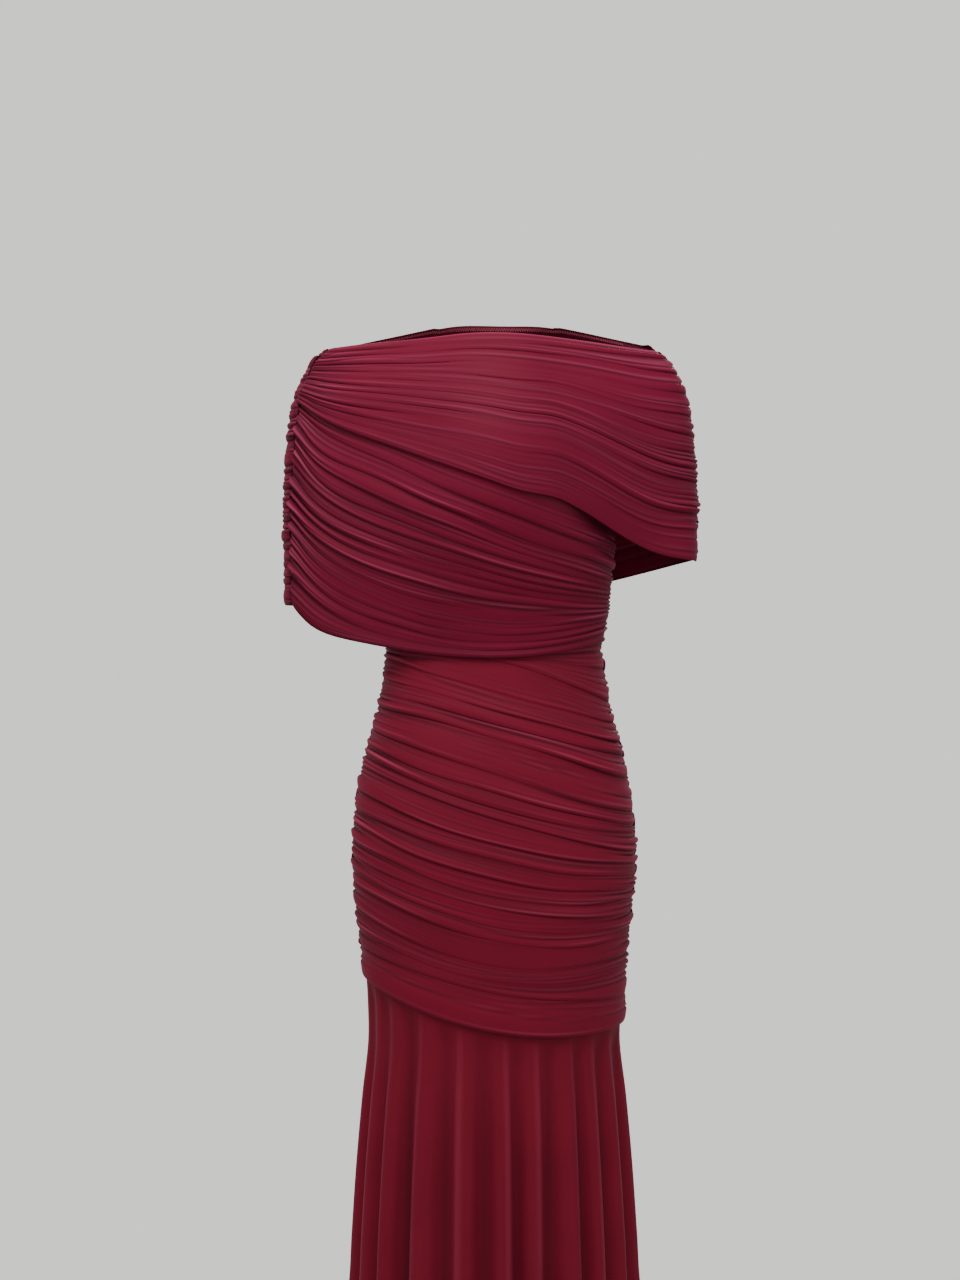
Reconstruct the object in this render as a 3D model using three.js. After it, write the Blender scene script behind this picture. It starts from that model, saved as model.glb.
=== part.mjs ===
// A floor-length mermaid evening gown in stretch mesh: a body ruched from the underarm to below the hip, a
// flared skirt in soft upright folds, and a one-piece-looking cape drape gathered into a seam down each
// arm. It keeps the hollow shape it has when worn. Every piece is a wall of cloth; the rucks are raised on
// its outside. Units are millimetres, +Z is up, the front faces -Y and +X is the left arm's side, on the
// right seen from the front. The origin is on the centre line at the height where the gown rests on the
// shoulders.
import * as THREE from 'three';

// Driving dimensions
const WALL = 1.6; // mesh and its lining, where no ruck is raised
const SEAM = 0.3; // gap between two pieces at a seam
const ARM_SEAM = 0.5; // the same gap down each arm
const SHOULDER_OPEN = 1.6; // how much further the arm seams part towards the shoulders
const FLOOR = -1430; // hem of the skirt
const TUCK = 12; // how far the skirt's top edge is hidden by the ruched body
const SHOULDER_SHIFT = -4; // the cape sits a little to one side of the body's centre line
// How far the right arm's seam lies to the front of the arm's outermost line.
const SEAM_TURN = THREE.MathUtils.degToRad(44);
const WINE = 0x6b1426;

// Lifts that keep the layers apart: the body, then the lower drape, then the lower edge of the upper
// drape.
const LOWER_LIFT = WALL + 0.7;
const OVERLAP_LIFT = WALL + 3.4;

const smooth = THREE.MathUtils.smoothstep;

// Turns rows of numbers into rows with named columns.
const table = (names, rows) =>
  rows.map((row) => Object.fromEntries(row.map((value, k) => [names[k], value])));

// The body's inner surface: half width, depth to the front, depth to the back, and the depth of the cape
// behind it.
const FIGURE = table(['z', 'half', 'front', 'back', 'cape'], [
  [30, 68, 64, 58, 58],
  [15, 82, 74, 64, 64],
  [-5, 96, 88, 74, 74],
  [-30, 110, 102, 86, 86],
  [-60, 120, 115, 95, 95],
  [-95, 127, 125, 98, 100],
  [-130, 131, 131, 97, 103],
  [-165, 132, 132, 95, 105],
  [-190, 132, 129, 93, 106],
  [-231, 133, 119, 91, 107],
  [-267, 129, 108, 88, 108],
  [-303, 125, 98, 85, 108],
  [-345, 120, 90, 84, 108],
  [-380, 124, 92, 90, 108],
  [-420, 131.5, 97, 100, 108],
  [-460, 143, 102, 110, 110],
  [-510, 153, 107, 120, 120],
  [-560, 158, 110, 126, 126],
  [-600, 158, 111, 127, 127],
  [-640, 154.5, 110, 124, 124],
  [-690, 149, 108, 118, 118],
  [-740, 147, 107, 112, 112],
  [-800, 146, 106, 108, 108],
]);

// The sleeve-like ends of the cape: the outermost reach from the centre line and the radius it turns
// round.
const ARM = table(['z', 'reach', 'radius'], [
  [30, 150, 4],
  [3, 178, 6],
  [-7, 190, 12],
  [-20, 204, 20],
  [-38, 213, 29],
  [-55, 220, 34],
  [-88, 226, 37],
  [-120, 229, 36],
  [-165, 232, 34],
  [-215, 232, 32],
  [-300, 231, 31],
]);

// The skirt's middle surface, and how far its folds stand out and in from it.
const SKIRT = table(['z', 'half', 'front', 'back', 'fold'], [
  [-690, 146.6, 105.6, 115.6, 0],
  [-740, 144.6, 104.6, 109.6, 0],
  [-790, 143.8, 103.8, 106.2, 0],
  [-850, 148.5, 107, 109, 2.6],
  [-929, 153, 111, 113, 5.5],
  [-1008, 156, 115, 117, 8],
  [-1069, 158, 119, 121, 10],
  [-1150, 169, 131, 140, 13],
  [-1230, 186, 147, 162, 16],
  [-1310, 208, 167, 188, 19],
  [-1380, 232, 189, 214, 22],
  [-1430, 251, 206, 234, 24],
]);

// Creases of each ruched piece, from the top down. A crease is a parabola across the piece through its
// height at the right-arm side (right), on the centre (middle) and at the left-arm side (left); deep is
// how far the ruck above it stands out, on the same three lines. The first and the last row are the
// piece's own edges.
const CREASE = ['right', 'middle', 'left', 'deepRight', 'deepMiddle', 'deepLeft'];

// Beside the right arm's seam a front drape's crease falls faster than its parabola, by sag at most, and
// has caught up again a few times reach further on, as a share of half the width.
const SAGGING = [...CREASE, 'sag', 'reach'];
// From the chest to the left arm the upper drape's creases stay up, then drop, by this much each way.
const SAGGING_BENT = [...SAGGING, 'bend'];

const BODY_FRONT = table(CREASE, [
  [-190, -186, -190, 0, 0, 0],
  [-262, -268, -264, 0, 0, 0],
  [-334, -349, -338, 0, 0, 0],
  [-336, -351, -367, 0, 0, 3.0],
  [-341, -356, -404, 1.6, 0.8, 3.4],
  [-354, -391, -428, 4.2, 2.6, 3.6],
  [-377, -411, -451, 3.4, 3.0, 3.4],
  [-393, -426, -466, 3.0, 2.2, 3.2],
  [-409, -441, -492, 3.4, 3.0, 3.6],
  [-437, -481, -531, 3.4, 2.8, 4.0],
  [-454, -502, -543, 3.2, 2.4, 3.4],
  [-463, -518, -553, 2.8, 2.6, 3.0],
  [-477, -529, -573, 3.4, 2.4, 4.0],
  [-503, -557, -586, 3.8, 3.0, 3.6],
  [-524, -574, -601, 3.4, 2.2, 4.0],
  [-540, -595, -614, 3.2, 2.6, 3.8],
  [-559, -613, -626, 3.6, 3.0, 3.6],
  [-577, -628, -640, 3.4, 2.6, 4.0],
  [-593, -646, -655, 3.2, 2.2, 3.4],
  [-607, -662, -668, 3.6, 3.0, 3.8],
  [-636, -690, -686, 3.2, 0.8, 2.8],
  [-660, -707, -703, 3.4, 3.2, 3.4],
  [-681, -719, -736, 3.2, 2.4, 3.6],
  [-715, -763, -768, 2.0, 2.4, 2.4],
]);

const BODY_BACK = table(CREASE, [
  [-190, -186, -190, 0, 0, 0],
  ...creasesBetween({
    count: 19,
    top: [-262, -268, -264],
    bottom: [-688, -728, -742],
    deep: [3.4, 2.8, 3.6],
    uneven: 0.32,
  }),
  [-715, -752, -768, 2.0, 2.4, 2.4],
]);

const DRAPE_UPPER = table(SAGGING_BENT, [
  [-3, 5, -6, 0.6, 0.6, 0.6, 0, 0.25, 0],
  [-10, -8, -16, 1.6, 2.0, 1.8, 0, 0.25, 0],
  [-17, -17, -32, 2.4, 2.2, 2.6, 0, 0.25, 0],
  [-24, -33, -54, 3.0, 2.4, 3.4, 0, 0.25, 2],
  [-30, -49, -80, 2.8, 3.2, 3.2, 0, 0.25, 3],
  [-36, -61, -101, 2.6, 2.4, 3.6, 1, 0.25, 4],
  [-41, -73, -121, 3.0, 2.6, 3.2, 2, 0.25, 5],
  [-46, -84, -138, 2.6, 3.0, 3.6, 3, 0.25, 6],
  [-50, -95, -154, 2.4, 2.2, 3.4, 4, 0.25, 7],
  [-54, -109, -170, 2.8, 1.2, 3.6, 5, 0.25, 8],
  [-58, -126, -188, 2.4, 0.8, 3.8, 6, 0.25, 8],
  [-61, -144, -208, 2.6, 1.4, 3.6, 6.5, 0.25, 8],
  [-65, -163, -243, 2.2, 2.4, 2.2, 7, 0.25, 8],
]);

const DRAPE_LOWER = table(SAGGING, [
  [-57, -128, -196, 0, 0, 0, 5, 0.25],
  [-67, -148, -214, 0, 0, 0, 6, 0.25],
  [-75, -168, -236, 1.6, 2.4, 2.4, 7, 0.3],
  [-86, -190, -251, 3.4, 3.2, 2.8, 15, 0.22],
  [-101, -206, -265, 4.2, 3.2, 3.4, 16, 0.25],
  [-116, -219, -271, 3.6, 2.4, 3.0, 17, 0.28],
  [-131, -230, -276, 4.2, 3.0, 3.2, 17, 0.3],
  [-145, -241, -281, 3.6, 2.6, 3.0, 17, 0.3],
  [-159, -251, -286, 4.2, 2.8, 3.2, 17, 0.3],
  [-172, -262, -291, 3.8, 2.2, 2.8, 17, 0.28],
  [-185, -274, -295, 4.4, 2.8, 3.2, 17, 0.27],
  [-197, -290, -299, 3.8, 2.4, 3.2, 17, 0.26],
  [-210, -308, -303, 4.4, 3.4, 3.4, 17, 0.25],
  [-225, -318, -309, 4.0, 2.2, 3.0, 16, 0.24],
  [-240, -328, -315, 4.2, 2.8, 3.2, 15, 0.24],
  [-260, -338, -323, 4.2, 2.6, 3.2, 13, 0.27],
  [-293, -350, -334, 1.8, 2.4, 2.4, 14, 0.18],
]);

const CAPE_BACK = table(CREASE, [
  [-3, 38, 2, 0.6, 0.6, 0.6],
  ...creasesBetween({
    count: 15,
    top: [-24, 16, -14],
    bottom: [-268, -270, -222],
    deep: [3.8, 2.8, 3.4],
    uneven: 0.3,
  }),
  [-293, -286, -240, 2.0, 2.2, 2.2],
]);

// Ridges of the skirt's folds, in degrees round from the front, and how strong each one is. The outer two
// of each half lie beside the side seams.
const FRONT_FOLDS = table(['at', 'strength'], [
  [-80, 0.8],
  [-64, 0.75],
  [-50, 1.0],
  [-31, 1.1],
  [-13, 0.85],
  [3, 0.8],
  [16, 0.9],
  [33, 1.2],
  [47, 0.8],
  [62, 0.9],
  [80, 0.9],
]);
const BACK_FOLDS = table(['at', 'strength'], [
  [-79, 0.9],
  [-60, 1.1],
  [-43, 0.8],
  [-24, 1.15],
  [-8, 0.9],
  [9, 1.0],
  [27, 1.15],
  [44, 0.85],
  [61, 1.05],
  [79, 0.9],
]);

// Where rows stand between one crease and the next, and how much of the ruck's height each has.
const RUCK_ROWS = table(['part', 'rise'], [
  [0, 0],
  [0.45, 0.6],
  [0.84, 1],
]);
const SKIRT_ROWS = [0, 0.03, 0.08, 0.16, 0.26, 0.38, 0.5, 0.62, 0.74, 0.86, 0.94, 1];

// Evenly graded creases from one to another, each moved a little so that none repeats its neighbour.
function creasesBetween({ count, top, bottom, deep, uneven }) {
  const step = 1 / (count - 1);
  return Array.from({ length: count }, (_, k) => {
    const share = k * step + uneven * step * Math.sin(2.4 * k) * Math.sin(Math.PI * k * step);
    const heights = top.map((z, side) => z + (bottom[side] - z) * share + 3 * Math.sin(1.7 * k + 2 * side));
    const depths = deep.map((d, side) => d * (0.85 + 0.2 * Math.sin(2.9 * k + 1.3 * side)));
    return [...heights, ...depths];
  });
}

// The value of a table's column at height z, on a smooth curve through its rows.
function at(rows, z, column) {
  const last = rows.length - 1;
  const value = (k) => rows[k][column];
  const slope = (k) => {
    const a = Math.max(0, k - 1);
    const b = Math.min(last, k + 1);
    return (value(b) - value(a)) / (rows[b].z - rows[a].z);
  };
  if (z >= rows[0].z) return value(0);
  if (z <= rows[last].z) return value(last);
  const k = rows.findIndex((row, n) => n < last && z <= row.z && z > rows[n + 1].z);
  const span = rows[k + 1].z - rows[k].z;
  const t = (z - rows[k].z) / span;
  const t2 = t * t;
  const t3 = t2 * t;
  return (
    value(k) * (2 * t3 - 3 * t2 + 1) +
    slope(k) * span * (t3 - 2 * t2 + t) +
    value(k + 1) * (3 * t2 - 2 * t3) +
    slope(k + 1) * span * (t3 - t2)
  );
}

// A parabola through values on the right (-1), the middle (0) and the left (+1).
const across = (right, middle, left, s) =>
  middle + ((left - right) / 2) * s + ((left + right) / 2 - middle) * s * s;

// Cloth pulled straight from an arm to the chest leaves the chest's ellipse where both have the same
// tangent. This is the angle of that tangent from straight ahead.
function tangentAngle(arm, half, deep) {
  const a = arm.x * arm.x - half * half + deep * deep;
  const b = arm.radius * arm.x;
  const c = arm.radius * arm.radius - deep * deep;
  return Math.asin((Math.sqrt(b * b - a * c) - b) / a);
}

// The arc round one arm, from its seam to the tangent, as [distance out, distance ahead].
function armArc(arm, from, tangent) {
  const steps = 8;
  return Array.from({ length: steps + 1 }, (_, k) => {
    const turn = from + ((Math.PI / 2 - tangent - from) * k) / steps;
    return [arm.x + arm.radius * Math.cos(turn), arm.radius * Math.sin(turn)];
  });
}

// The plan of one line of the drape: round the right arm, straight to the chest, round it, and on to the
// left arm or, with no left arm, to the body's side seam. Points are [x, distance ahead of the centre
// plane].
function planLine({ rightArm, leftArm, half, deep, seamTurn }) {
  const rightTangent = tangentAngle(rightArm, half, deep);
  const points = armArc(rightArm, seamTurn, rightTangent).map(([x, y]) => [-x, y]);
  const onEllipse = (arm, tangent) =>
    Math.asin((half * Math.sin(tangent)) / (arm.x * Math.sin(tangent) + arm.radius));
  const from = -onEllipse(rightArm, rightTangent);
  const leftTangent = leftArm ? tangentAngle(leftArm, half, deep) : 0;
  const to = leftArm ? onEllipse(leftArm, leftTangent) : Math.PI / 2;
  const steps = 24;
  for (let k = 0; k <= steps; k += 1) {
    const turn = from + ((to - from) * k) / steps;
    points.push([half * Math.sin(turn), deep * Math.cos(turn)]);
  }
  if (leftArm) points.push(...armArc(leftArm, SEAM / 2 / leftArm.radius, leftTangent).reverse());
  return points;
}

// Points at given shares of a line's length.
function spread(points, shares) {
  const lengths = [0];
  for (let k = 1; k < points.length; k += 1) {
    const step = Math.hypot(points[k][0] - points[k - 1][0], points[k][1] - points[k - 1][1]);
    lengths.push(lengths[k - 1] + step);
  }
  const whole = lengths[lengths.length - 1];
  return shares.map((share) => {
    const aim = share * whole;
    const k = Math.min(points.length - 2, Math.max(0, lengths.findIndex((length) => length > aim) - 1));
    const end = share >= 1 ? points.length - 2 : k;
    const t = (aim - lengths[end]) / (lengths[end + 1] - lengths[end]);
    return [0, 1].map((axis) => points[end][axis] + t * (points[end + 1][axis] - points[end][axis]));
  });
}

// Shares of a width, closer together at both ends where the gathers are.
const gatheredShares = (count) =>
  Array.from({ length: count + 1 }, (_, k) => {
    const even = k / count;
    return 0.55 * even + 0.45 * (0.5 - 0.5 * Math.cos(Math.PI * even));
  });

// All the lines of a ruched piece, creases and what stands between them, with the height of the ruck on
// each.
function ruckLines(creases, rows) {
  const lines = [];
  creases.forEach((crease, k) => {
    const next = creases[k + 1];
    if (!next) {
      lines.push({ ...crease });
      return;
    }
    rows.forEach(({ part, rise }) => {
      const mix = (column) => crease[column] + part * (next[column] - crease[column]);
      const line = Object.fromEntries(Object.keys(crease).map((column) => [column, mix(column)]));
      line.deepRight = rise * next.deepRight;
      line.deepMiddle = rise * next.deepMiddle;
      line.deepLeft = rise * next.deepLeft;
      lines.push(line);
    });
  });
  return lines;
}

const heightOn = (line, s) => {
  const level = across(line.right, line.middle, line.left, s);
  const far = (s + 1) / (line.reach ?? 1);
  const sag = (line.sag ?? 0) * far * Math.exp(1 - far);
  const bend = (line.bend ?? 0) * Math.sin(2 * Math.PI * s) * smooth(s, 0, 0.3);
  return level - sag + bend;
};
const ruckOn = (line, s) => Math.max(0, across(line.deepRight, line.deepMiddle, line.deepLeft, s));

// A line of the body: an ellipse round the figure, from one side seam to the other.
function bodyLine(line, shares, side) {
  return shares.map((share) => {
    const turn = (share - 0.5) * Math.PI;
    const s = Math.sin(turn);
    const z = heightOn(line, s);
    const ahead = at(FIGURE, z, side) * Math.cos(turn) + SEAM / 2;
    return {
      point: new THREE.Vector3(at(FIGURE, z, 'half') * s, side === 'front' ? -ahead : ahead, z),
      ruck: ruckOn(line, s),
    };
  });
}

// A line of the drape or the cape, over the figure and the arms. depthColumn is the figure's column that
// it lies on, and each point is found again until its place across and its height agree.
function drapeLine(line, shares, { depthColumn, seamTurn, toSideSeam }) {
  const arm = (z) => {
    const radius = at(ARM, z, 'radius');
    return { x: at(ARM, z, 'reach') - radius, radius };
  };
  const planAt = (z) => planLine({
    rightArm: arm(z),
    leftArm: toSideSeam ? null : arm(z),
    half: at(FIGURE, z, 'half'),
    deep: at(FIGURE, z, depthColumn),
    seamTurn: seamTurn + (ARM_SEAM / 2 + SHOULDER_OPEN * smooth(z, -80, -30)) / arm(z).radius,
  });
  return shares.map((share) => {
    let s = 2 * share - 1;
    let x = 0;
    let ahead = 0;
    for (let round = 0; round < 6; round += 1) {
      const plan = planAt(heightOn(line, s));
      const first = plan[0][0];
      [[x, ahead]] = spread(plan, [share]);
      s = THREE.MathUtils.clamp((2 * (x - first)) / (plan[plan.length - 1][0] - first) - 1, -1, 1);
    }
    x += toSideSeam && x > 0 ? 0 : SHOULDER_SHIFT * smooth(Math.abs(x), 100, 190);
    ahead += toSideSeam ? (SEAM / 2) * share : 0;
    return {
      point: new THREE.Vector3(x, depthColumn === 'front' ? -ahead : ahead, heightOn(line, s)),
      ruck: ruckOn(line, s),
    };
  });
}

// Directions that point out of the cloth, from each point's neighbours. Both side edges turn the way their
// seam does, so that two pieces keep their gap.
function outward(rows, seams) {
  const last = rows.length - 1;
  const lastColumn = rows[0].length - 1;
  return rows.map((row, i) =>
    row.map((_, j) => {
      const down = rows[Math.min(last, i + 1)][j].clone().sub(rows[Math.max(0, i - 1)][j]);
      const along = row[Math.min(lastColumn, j + 1)].clone().sub(row[Math.max(0, j - 1)]);
      const away = down.cross(along).normalize();
      if (j > 0 && j < lastColumn) return away;
      const [x, y] = seams[j === 0 ? 0 : 1];
      const level = Math.hypot(away.x, away.y);
      return new THREE.Vector3(x * level, y * level, away.z);
    }),
  );
}

// Joins two edges of cloth, which may have different numbers of points, with a strip of triangles.
function strip(outer, inner, faces) {
  let a = 0;
  let b = 0;
  while (a < outer.length - 1 || b < inner.length - 1) {
    const nextOuter = a < outer.length - 1 ? outer[a + 1].share : Infinity;
    const nextInner = b < inner.length - 1 ? inner[b + 1].share : Infinity;
    if (nextOuter <= nextInner) {
      faces.push([outer[a].id, outer[a + 1].id, inner[b].id]);
      a += 1;
    } else {
      faces.push([outer[a].id, inner[b + 1].id, inner[b].id]);
      b += 1;
    }
  }
}

// A closed wall from its outer points and its inner points. The inner side may skip rows of the outer one.
function wallGeometry(outer, inner, keptRows) {
  const points = [];
  const faces = [];
  const numbered = (rows) => rows.map((row) => row.map((point) => points.push(point) - 1));
  const outerIds = numbered(outer);
  const innerIds = numbered(inner);
  const skin = (ids, turned) => {
    for (let i = 0; i < ids.length - 1; i += 1) {
      for (let j = 0; j < ids[i].length - 1; j += 1) {
        const [a, b, c, d] = [ids[i][j], ids[i][j + 1], ids[i + 1][j], ids[i + 1][j + 1]];
        faces.push(...(turned ? [[a, b, c], [b, d, c]] : [[a, c, b], [b, c, d]]));
      }
    }
  };
  skin(outerIds, false);
  skin(innerIds, true);
  const rowEdge = (ids, i) => ids[i].map((id, j) => ({ id, share: j }));
  const sideEdge = (ids, j, rows) => ids.map((row, k) => ({ id: row[j], share: rows[k] }));
  const back = (edge) => edge.map(({ id, share }) => ({ id, share: -share })).reverse();
  const allRows = outer.map((_, k) => k);
  const lastColumn = outer[0].length - 1;
  const edges = (ids, rows) => [
    rowEdge(ids, 0),
    sideEdge(ids, lastColumn, rows),
    back(rowEdge(ids, ids.length - 1)),
    back(sideEdge(ids, 0, rows)),
  ];
  const outerEdges = edges(outerIds, allRows);
  edges(innerIds, keptRows).forEach((edge, k) => strip(outerEdges[k], edge, faces));
  const geometry = new THREE.BufferGeometry();
  geometry.setAttribute('position', new THREE.Float32BufferAttribute(points.flatMap((p) => p.toArray()), 3));
  geometry.setIndex(faces.flat());
  geometry.computeVertexNormals();
  return geometry;
}

// A wall over a surface: lifted clear of what lies under it, plain inside, with the rucks raised outside.
function ruchedWall(lines, { lift, skip, seams }) {
  const surface = lines.map((line) => line.map(({ point }) => point));
  const away = outward(surface, seams);
  const last = surface.length - 1;
  const kept = surface.map((_, k) => k).filter((k) => k === last || k % skip === 0);
  const moved = (i, j, distance) => surface[i][j].clone().addScaledVector(away[i][j], distance);
  const outer = lines.map((line, i) => line.map(({ ruck }, j) => moved(i, j, lift(i, j) + WALL + ruck)));
  const inner = kept.map((i) => surface[i].map((_, j) => moved(i, j, lift(i, j))));
  return wallGeometry(outer, inner, kept);
}

const fabric = (roughness) =>
  new THREE.MeshStandardMaterial({ color: WINE, roughness, metalness: 0, side: THREE.DoubleSide });

function piece(name, geometry, roughness) {
  const mesh = new THREE.Mesh(geometry, fabric(roughness));
  mesh.name = name;
  return mesh;
}

// A panel's lines run from the right to the left on the front, and the other way round on the back.
const inOrder = (items, side) => (side === 'front' ? items : items.reverse());
const sideSeams = (side) => inOrder([[-1, 0], [1, 0]], side);

// The ruched body, front and back, which meet at the side seams.
function bodyPanel(name, creases, side, columns) {
  const shares = gatheredShares(columns);
  const lines = ruckLines(creases, RUCK_ROWS).map((line) => inOrder(bodyLine(line, shares, side), side));
  return piece(name, ruchedWall(lines, { lift: () => 0, skip: 5, seams: sideSeams(side) }), 0.8);
}

// Where a skirt panel's columns stand: four to a fold, with a trough on each side seam.
function foldColumns(folds) {
  const quarter = Math.PI / 2;
  const ridges = folds.map(({ at: degrees }) => THREE.MathUtils.degToRad(degrees));
  const troughs = ridges.slice(1).map((ridge, k) => (ridge + ridges[k]) / 2);
  const stops = [-quarter, ...troughs, quarter];
  const columns = [];
  folds.forEach(({ strength }, k) => {
    const shallow = Math.min(strength, folds[Math.max(0, k - 1)].strength);
    columns.push({ turn: stops[k], wave: -shallow });
    columns.push({ turn: (stops[k] + ridges[k]) / 2, wave: 0.1 * strength });
    columns.push({ turn: ridges[k], wave: strength });
    columns.push({ turn: (ridges[k] + stops[k + 1]) / 2, wave: 0.1 * strength });
  });
  columns.push({ turn: quarter, wave: -folds[folds.length - 1].strength });
  return columns;
}

// A flared skirt panel that hangs in upright folds from under the ruched body to the floor.
function skirtPanel(name, folds, hem, side) {
  const columns = foldColumns(folds);
  const surface = SKIRT_ROWS.map((share) => {
    const points = columns.map(({ turn, wave }) => {
      const s = Math.sin(turn);
      const top = heightOn(hem, s) + TUCK;
      const z = top + (FLOOR - top) * share;
      const fold = at(SKIRT, z, 'fold') * wave;
      const ahead = (at(SKIRT, z, side) + fold) * Math.cos(turn) + SEAM / 2;
      return new THREE.Vector3((at(SKIRT, z, 'half') + fold) * s, side === 'front' ? -ahead : ahead, z);
    });
    return inOrder(points, side);
  });
  const away = outward(surface, sideSeams(side));
  const layer = (distance) =>
    surface.map((row, i) => row.map((point, j) => {
      const level = away[i][j].clone().setZ(0).normalize();
      return point.clone().addScaledVector(level, distance);
    }));
  const geometry = wallGeometry(layer(WALL / 2), layer(-WALL / 2), surface.map((_, k) => k));
  return piece(name, geometry, 0.85);
}

// A drape or the cape. lift is how far it lies off the figure: it takes the share of the way down the
// piece and the share of the way from the right arm's seam to the other end.
function drapePanel(name, creases, columns, rows, { lift, side, ...where }) {
  const shares = gatheredShares(columns);
  const lines = ruckLines(creases, rows).map((line) => inOrder(drapeLine(line, shares, where), side));
  const across = inOrder([...shares], side);
  const seams = inOrder([[-Math.cos(SEAM_TURN), -Math.sin(SEAM_TURN)], [1, 0]], side);
  const liftOf = (i, j) => lift(i / (lines.length - 1), across[j]);
  return piece(name, ruchedWall(lines, { lift: liftOf, skip: 4, seams }), 0.8);
}

const gown = new THREE.Group();
gown.name = 'mermaid_gown';
gown.add(bodyPanel('body_front', BODY_FRONT, 'front', 18));
gown.add(bodyPanel('body_back', BODY_BACK, 'back', 16));
gown.add(skirtPanel('skirt_front', FRONT_FOLDS, BODY_FRONT[BODY_FRONT.length - 1], 'front'));
gown.add(skirtPanel('skirt_back', BACK_FOLDS, BODY_BACK[BODY_BACK.length - 1], 'back'));
gown.add(drapePanel('drape_lower', DRAPE_LOWER, 22, RUCK_ROWS, {
  side: 'front',
  depthColumn: 'front',
  seamTurn: SEAM_TURN,
  toSideSeam: true,
  lift: (down, share) => LOWER_LIFT + 1.5 * smooth(share, 0, 0.3) * (1 - smooth(share, 0.92, 1)),
}));
gown.add(drapePanel('drape_upper', DRAPE_UPPER, 26, RUCK_ROWS, {
  side: 'front',
  depthColumn: 'front',
  seamTurn: SEAM_TURN,
  toSideSeam: false,
  lift: (down, share) => LOWER_LIFT + OVERLAP_LIFT * smooth(down, 0.3, 0.75) * (1 - smooth(share, 0.78, 1)),
}));
gown.add(drapePanel('cape_back', CAPE_BACK, 24, [RUCK_ROWS[0], RUCK_ROWS[2]], {
  side: 'back',
  depthColumn: 'cape',
  seamTurn: -SEAM_TURN,
  toSideSeam: false,
  lift: () => LOWER_LIFT,
}));

export default gown;
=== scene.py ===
import math

import bmesh
import bpy
import numpy as np
from mathutils import Matrix, Vector


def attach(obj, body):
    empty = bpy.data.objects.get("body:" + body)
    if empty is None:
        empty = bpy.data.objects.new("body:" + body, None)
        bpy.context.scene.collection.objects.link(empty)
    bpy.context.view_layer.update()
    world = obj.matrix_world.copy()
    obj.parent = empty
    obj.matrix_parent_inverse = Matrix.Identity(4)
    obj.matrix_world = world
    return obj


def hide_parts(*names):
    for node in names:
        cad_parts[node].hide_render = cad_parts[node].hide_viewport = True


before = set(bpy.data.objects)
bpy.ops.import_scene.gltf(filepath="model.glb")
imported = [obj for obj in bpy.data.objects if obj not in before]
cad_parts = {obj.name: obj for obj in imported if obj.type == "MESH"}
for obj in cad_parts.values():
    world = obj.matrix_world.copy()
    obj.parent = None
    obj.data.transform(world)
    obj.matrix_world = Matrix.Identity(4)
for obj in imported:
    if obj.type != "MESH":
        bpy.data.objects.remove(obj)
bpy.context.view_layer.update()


# Front of the body: fine stretch mesh on a smooth lining, tucked into slanting rucks that are caught in both
# side seams. It runs from under the drapes to the slanting seam below the hip. Lengths are in millimetres.

# The tables are the solids' own, but for most of the lower drape's ruck heights, the middle of the neck edge
# and the sag of the cape's back.

# height, half width, depth in front, depth behind, depth of the cape behind
FIGURE = np.array([
    [30, 68, 64, 58, 58],
    [15, 82, 74, 64, 64],
    [-5, 96, 88, 74, 74],
    [-30, 110, 102, 86, 86],
    [-60, 120, 115, 95, 95],
    [-95, 127, 125, 98, 100],
    [-130, 131, 131, 97, 103],
    [-165, 132, 132, 95, 105],
    [-190, 132, 129, 93, 106],
    [-231, 133, 119, 91, 107],
    [-267, 129, 108, 88, 108],
    [-303, 125, 98, 85, 108],
    [-345, 120, 90, 84, 108],
    [-380, 124, 92, 90, 108],
    [-420, 131.5, 97, 100, 108],
    [-460, 143, 102, 110, 110],
    [-510, 153, 107, 120, 120],
    [-560, 158, 110, 126, 126],
    [-600, 158, 111, 127, 127],
    [-640, 154.5, 110, 124, 124],
    [-690, 149, 108, 118, 118],
    [-740, 147, 107, 112, 112],
    [-800, 146, 106, 108, 108],
], float)
HALF, FRONT, BACK, CAPE = 1, 2, 3, 4

# Creases from the top down: height at the right side, on the centre and at the left side, then how far the
# ruck above stands out at the same three. On the drapes there follow how much and how soon the crease sags
# beside the right arm's seam, and how much it bends between the chest and the left arm.
FRONT_CREASES = [
    [-190, -186, -190, 0, 0, 0],
    [-262, -268, -264, 0, 0, 0],
    [-334, -349, -338, 0, 0, 0],
    [-336, -351, -367, 0, 0, 3.0],
    [-341, -356, -404, 1.6, 0.8, 3.4],
    [-354, -391, -428, 4.2, 2.6, 3.6],
    [-377, -411, -451, 3.4, 3.0, 3.4],
    [-393, -426, -466, 3.0, 2.2, 3.2],
    [-409, -441, -492, 3.4, 3.0, 3.6],
    [-437, -481, -531, 3.4, 2.8, 4.0],
    [-454, -502, -543, 3.2, 2.4, 3.4],
    [-463, -518, -553, 2.8, 2.6, 3.0],
    [-477, -529, -573, 3.4, 2.4, 4.0],
    [-503, -557, -586, 3.8, 3.0, 3.6],
    [-524, -574, -601, 3.4, 2.2, 4.0],
    [-540, -595, -614, 3.2, 2.6, 3.8],
    [-559, -613, -626, 3.6, 3.0, 3.6],
    [-577, -628, -640, 3.4, 2.6, 4.0],
    [-593, -646, -655, 3.2, 2.2, 3.4],
    [-607, -662, -668, 3.6, 3.0, 3.8],
    [-636, -690, -686, 3.2, 0.8, 2.8],
    [-660, -707, -703, 3.4, 3.2, 3.4],
    [-681, -719, -736, 3.2, 2.4, 3.6],
    [-715, -763, -768, 2.0, 2.4, 2.4],
]
FIRST_DEPTH, SAG, SAG_REACH, BEND = 3, 6, 7, 8
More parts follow.
